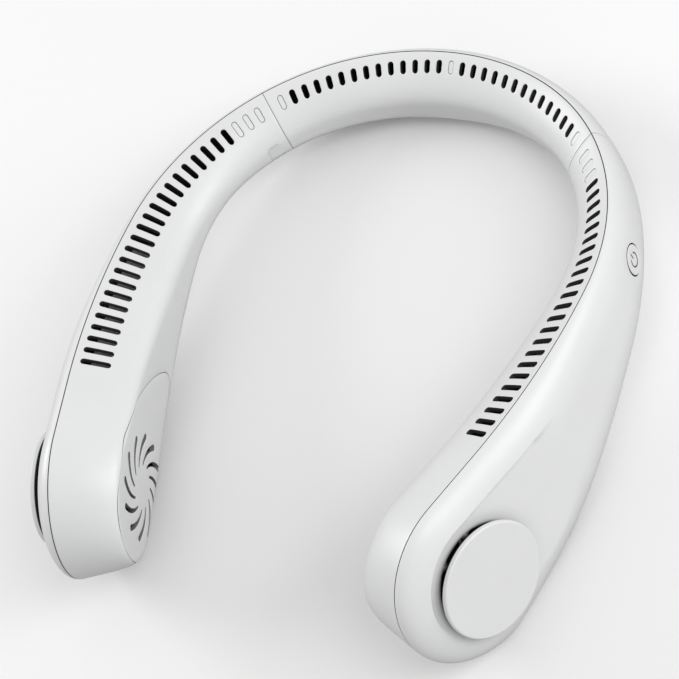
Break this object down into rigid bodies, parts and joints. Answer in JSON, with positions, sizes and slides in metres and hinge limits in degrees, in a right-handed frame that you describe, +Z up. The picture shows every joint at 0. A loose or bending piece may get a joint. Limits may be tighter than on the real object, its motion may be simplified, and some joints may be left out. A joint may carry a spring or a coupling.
{
  "type": "neck fan",
  "caption": "U-shaped bladeless neck fan: slotted air band round the neck, a blower with swirl grille and intake disc in each end, sprung power button.",
  "frame": {"origin": "on the surface that the fan rests on, under the middle of its bounding box", "axes": "+Y from the two pods to the neck piece, +Z up in the resting attitude, +X to the arm with the power button; left and right are as seen from the open end, looking at the neck piece"},
  "size_m": [0.1934, 0.21, 0.0597],
  "materials": {
    "white_shell": "satin white",
    "inner_plastic": "natural moulded",
    "black_plastic": "moulded black",
    "magnet": "bonded ferrite, dark grey",
    "steel": "bright",
    "bronze": "sintered",
    "windings": "enamelled copper wire on a core",
    "board": "green solder resist",
    "cell": "foil sleeve",
    "silicone": "matte",
    "wire": "sleeved wires"
  },
  "bodies": {
    "shell": {"neck_inner_shell": "white_shell", "neck_outer_shell": "white_shell", "left_inner_shell": "white_shell", "right_inner_shell": "white_shell", "left_outer_shell": "white_shell", "right_outer_shell": "white_shell", "left_joint_sleeve": "inner_plastic", "right_joint_sleeve": "inner_plastic", "left_joint_plug": "white_shell", "right_joint_plug": "white_shell", "joint_screws": "steel", "left_grille_panel": "white_shell", "right_grille_panel": "white_shell", "left_intake_disc": "white_shell", "right_intake_disc": "white_shell", "left_scroll_housing": "inner_plastic", "right_scroll_housing": "inner_plastic", "left_scroll_cover": "inner_plastic", "right_scroll_cover": "inner_plastic", "left_bearing": "bronze", "right_bearing": "bronze", "left_stator": "windings", "right_stator": "windings", "left_motor_board": "board", "right_motor_board": "board", "left_battery": "cell", "right_battery": "cell", "left_duct_floor": "inner_plastic", "right_duct_floor": "inner_plastic", "left_screws": "steel", "right_screws": "steel", "button_spring_pad": "silicone", "tact_switch": "black_plastic", "control_board": "board", "usb_socket": "steel", "wire_harness": "wire"},
    "right_rotor": {"right_impeller": "black_plastic", "right_rotor_magnet": "magnet", "right_motor_shaft": "steel"},
    "left_rotor": {"left_impeller": "black_plastic", "left_rotor_magnet": "magnet", "left_motor_shaft": "steel"},
    "button": {"power_button": "white_shell"}
  },
  "joints": [
    {"name": "right_impeller_spin", "type": "hinge", "parent": "shell", "child": "right_rotor", "pos_m": [0.07592, -0.07531, 0.02958], "axis": [0.948, -0.2517, 0.1946], "continuous": true},
    {"name": "left_impeller_spin", "type": "hinge", "parent": "shell", "child": "left_rotor", "pos_m": [-0.07592, -0.07531, 0.02958], "axis": [-0.948, -0.2517, 0.1946], "continuous": true},
    {"name": "power_button_press", "type": "slide", "parent": "shell", "child": "button", "axis": [-0.9646, -0.2557, -0.0645], "range_m": [0, 0.0006], "stiffness_N_per_m": 600, "springref_m": -0.0008}
  ]
}
